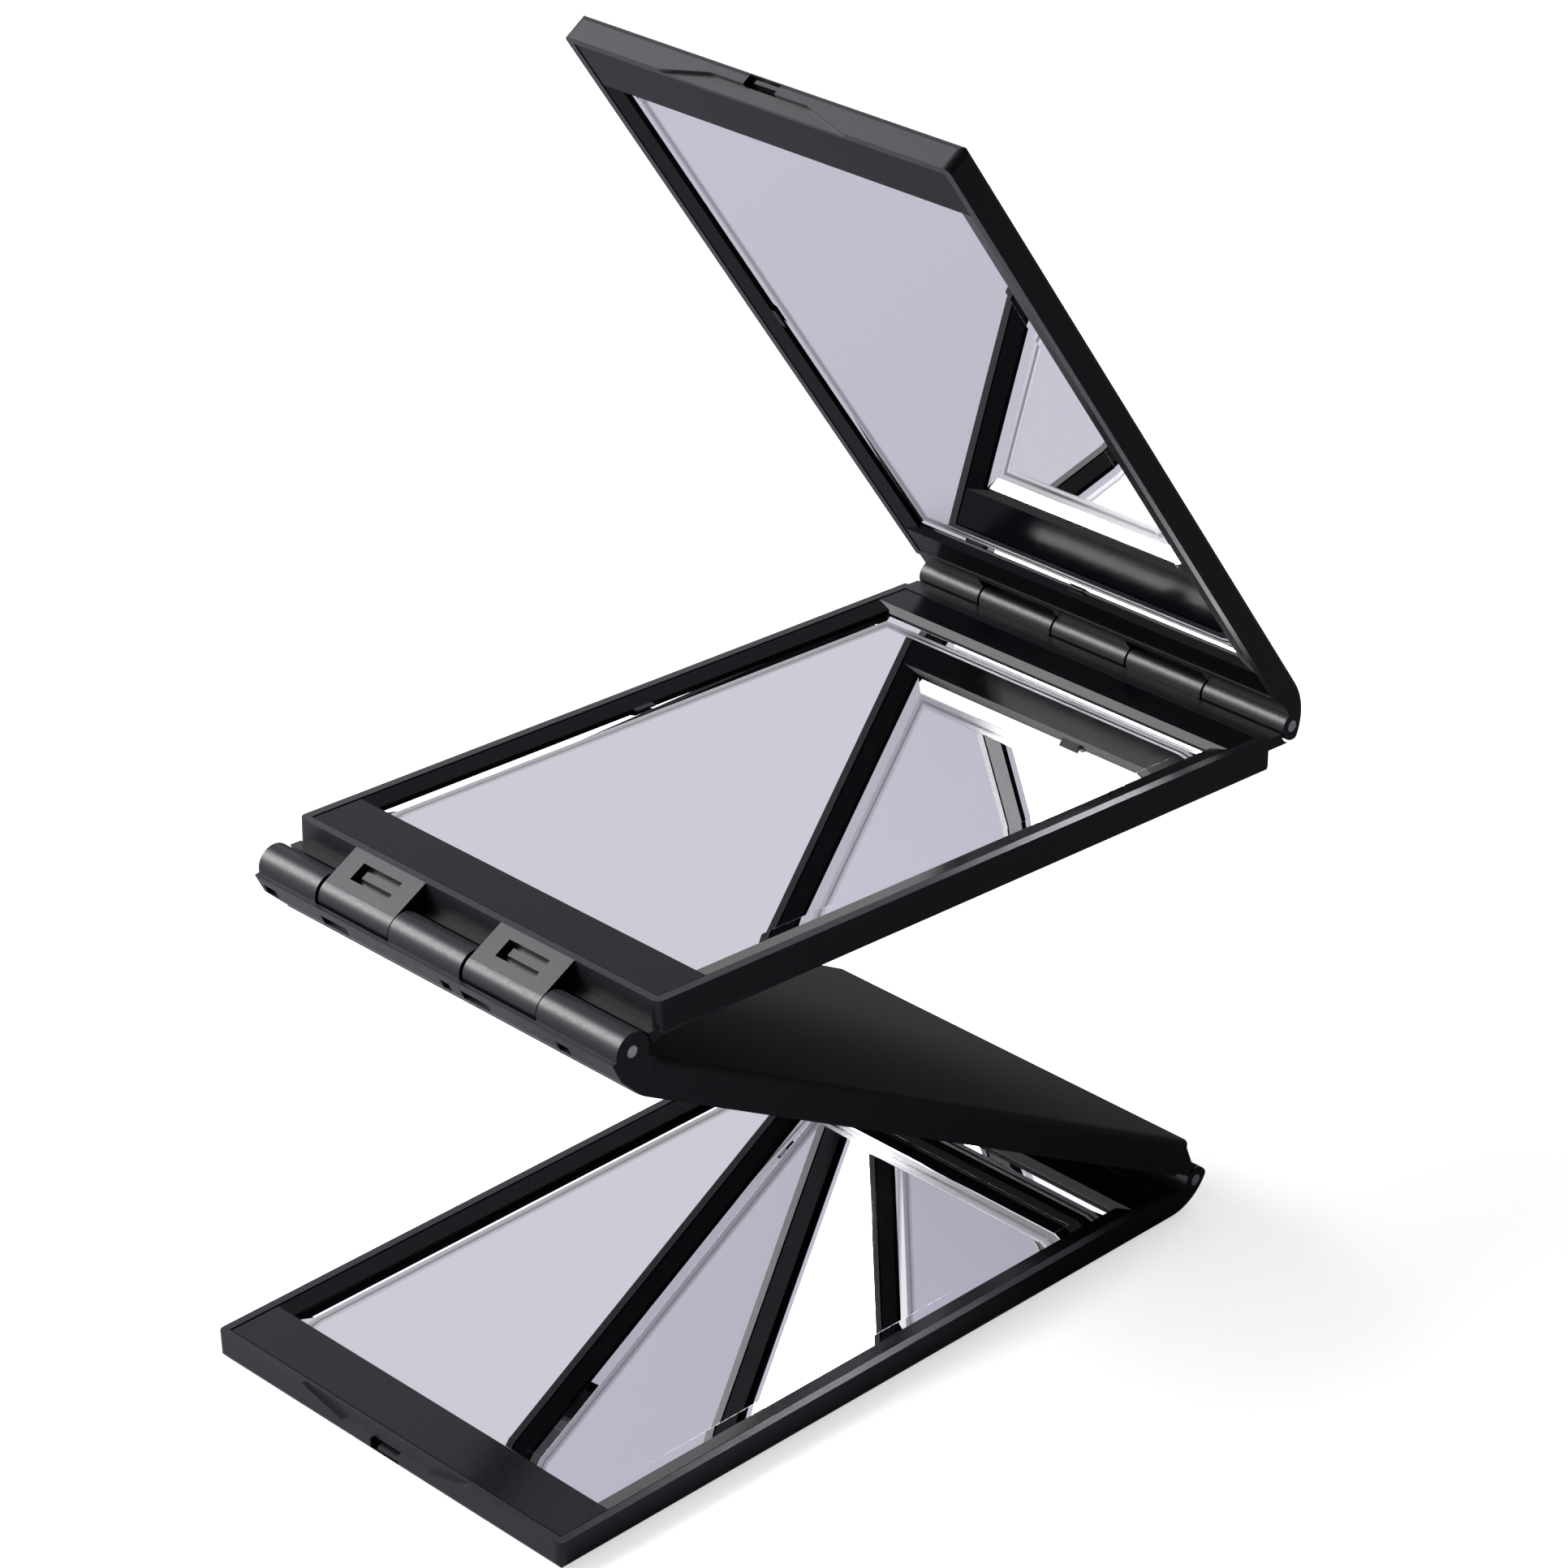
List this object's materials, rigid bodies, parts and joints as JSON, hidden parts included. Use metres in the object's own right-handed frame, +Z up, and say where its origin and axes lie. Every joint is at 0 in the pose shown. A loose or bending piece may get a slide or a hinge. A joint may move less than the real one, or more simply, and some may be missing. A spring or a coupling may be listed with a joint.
{
  "type": "folding pocket mirror",
  "caption": "Zigzag folding pocket mirror: framed bevelled mirrors in thin black plastic leaves on pinned friction hinges, standing on its flat base leaf.",
  "frame": {"origin": "middle of the flat underside of the base leaf", "axes": "+Z up from the surface it stands on, +X from the base's free end to the lower hinge, +Y along the hinge pins away from the near side"},
  "size_m": [0.1231, 0.062, 0.1498],
  "materials": {
    "case": "fine matte black ABS",
    "bezel": "satin black ABS, slightly lighter than the case",
    "mirror": "silvered glass with a bevelled edge",
    "pad": "adhesive foam sheet",
    "board": "grey-brown packing board",
    "pin": "bright drawn steel wire"
  },
  "bodies": {
    "base": {"base_case": "case", "base_bezel": "bezel", "base_mirror": "mirror", "base_mirror_pad": "pad", "lower_hinge_pin": "pin"},
    "lower_leaf": {"lower_leaf_case": "case", "lower_leaf_bezel": "bezel", "lower_leaf_mirror": "mirror", "lower_leaf_mirror_pad": "pad", "lower_leaf_backing_board": "board", "middle_hinge_pin": "pin"},
    "upper_leaf": {"upper_leaf_case": "case", "upper_leaf_bezel": "bezel", "upper_leaf_mirror": "mirror", "upper_leaf_mirror_pad": "pad", "upper_leaf_backing_board": "board"},
    "lid": {"lid_case": "case", "lid_bezel": "bezel", "lid_mirror": "mirror", "lid_mirror_pad": "pad", "top_hinge_pin": "pin"}
  },
  "joints": [
    {"name": "lower_hinge", "type": "hinge", "parent": "base", "child": "lower_leaf", "pos_m": [0.0542, 0, 0.0037], "axis": [0, 1, 0], "range_deg": [-30.2, 149.8]},
    {"name": "middle_hinge", "type": "hinge", "parent": "lower_leaf", "child": "upper_leaf", "pos_m": [-0.03526, 0, 0.06132], "axis": [0, -1, 0], "range_deg": [-27, 93]},
    {"name": "top_hinge", "type": "hinge", "parent": "upper_leaf", "child": "lid", "pos_m": [0.07114, 0, 0.06018], "axis": [0, 1, 0], "range_deg": [-54.4, 125.6]}
  ]
}
